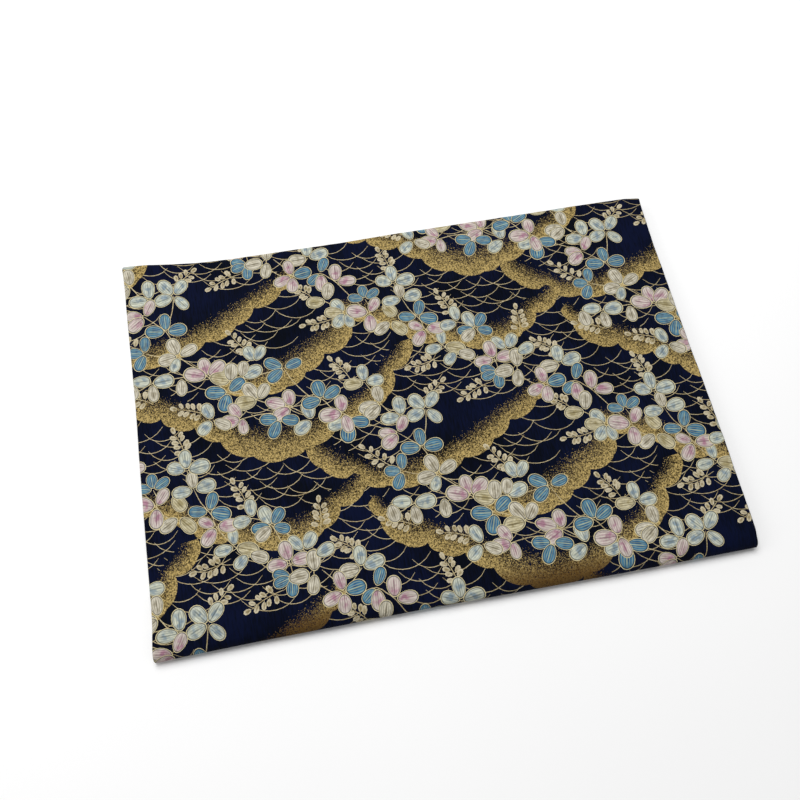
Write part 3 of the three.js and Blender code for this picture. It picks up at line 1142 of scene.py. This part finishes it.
# Hem stitches: a row of lockstitch near each cut end, on both faces of the cloth
stitch = {
    "inset": 4.0,        # from the cut end
    "pitch": 3.0,
    "long": 2.4,
    "thick": 0.34,
    "taper": 0.85,       # how much of its section is lost in the needle holes
    "dip": 0.3,          # how far its ends go down into the cloth
    "sunk": 0.1,         # how far the thread lies in the cloth
    "sideGap": 3.0,      # none nearer to the selvedges
    "foldGap": 2.0,      # nor to the side fold
    "round": 6,
    "steps": 5,
    # the first tone is the painted shade in the grooves between the plies, the second the thread's own
    "tones": ("#0b1030", "#283063"),
    "plyShade": 420,        # gives lines of painted shade 1.5 mm apart along the thread
    "waver": 0.3,
    "rough": 0.55,
}


def sewingThread():
    # polyester sewing thread, two plies twisted: a slight lustre, and painted shade as dark diagonal lines
    # in the grooves between the plies
    material, tree, shader = newMaterial("navySewingThread")
    place = addNode(tree, "ShaderNodeTexCoord").outputs["Object"]
    # painted shade: dark diagonal bands where the grooves between the plies lie
    plyShade = addNode(tree, "ShaderNodeTexWave", {"Scale": stitch["plyShade"], "Distortion": stitch["waver"]},
                    {"Vector": place}, bands_direction="DIAGONAL")
    tree.links.new(mixColours(tree, plyShade.outputs["Fac"], *stitch["tones"]), shader.inputs["Base Color"])
    shader.inputs["Roughness"].default_value = stitch["rough"]
    return material


def stitchPoints(u, v, side, surface):
    # one stitch, as rings of points round a thread that dips into the cloth at both ends
    t = np.linspace(-1, 1, stitch["steps"])
    turn = np.arange(stitch["round"]) * 2 * math.pi / stitch["round"]
    radius = stitch["thick"] / 2 * np.sqrt(1 - stitch["taper"] * t**4)
    lift = surface + radius.max() - stitch["sunk"] - stitch["dip"] * t**4
    return [(u + along, v + r * math.cos(a), side * (w + r * math.sin(a)))
            for along, r, w in zip(t * stitch["long"] / 2, radius, lift) for a in turn]


def stitchFaces(first, side):
    count, faces = stitch["round"], []
    for ring in range(first, first + (stitch["steps"] - 1) * count, count):
        for k in range(count):
            a, b = ring + k, ring + (k + 1) % count
            faces.append((a, a + count, b + count, b))
    near = tuple(range(first, first + count))
    far = tuple(x + (stitch["steps"] - 1) * count for x in near)
    faces += [near, far[::-1]]
    return faces if side > 0 else [face[::-1] for face in faces]


def drawStitches():
    # the stitches are set on the flat cloth and folded with it, so that each follows its ply
    points, faces = [], []
    for v in (stitch["inset"], clothV - stitch["inset"]):
        for side in (1, -1):
            surface = outerW if side > 0 else -float(reverseW(np.array([v]))[0])
            for u in np.arange(stitch["sideGap"], clothU - stitch["sideGap"], stitch["pitch"]):
                if foldU - stitch["foldGap"] < u < foldEnd + stitch["foldGap"]:
                    continue
                u = u + (stitch["pitch"] / 2 if side < 0 else 0)
                faces += stitchFaces(len(points), side)
                points += stitchPoints(u, v, side, surface)
    mesh = bpy.data.meshes.new("hemStitches")
    mesh.from_pydata((folded(*np.array(points).T) * mm).tolist(), [], faces)
    mesh.polygons.foreach_set("use_smooth", np.ones(len(mesh.polygons), bool))
    mesh.materials.append(sewingThread())
    made = bpy.data.objects.new("hemStitches", mesh)
    bpy.context.scene.collection.objects.link(made)
    return made


thread = drawStitches()
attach(thread, "root")
print("hem stitched:", len(thread.data.polygons), "faces")

# The floor: its two tones, how fast they change per metre, and its finish
board = {"tones": ("#fbfbfb", "#f6f6f6"), "cloud": 3, "rough": 0.9}


def studioBoard():
    # matt white board, with the faintest change of tone
    material, tree, shader = newMaterial("whiteStudioBoard")
    place = addNode(tree, "ShaderNodeTexCoord").outputs["Object"]
    tint = mixColours(tree, noiseOn(tree, place, board["cloud"], 2), *board["tones"])
    tree.links.new(tint, shader.inputs["Base Color"])
    shader.inputs["Roughness"].default_value = board["rough"]
    return material


floor.data.materials.append(studioBoard())
print("floor covered")
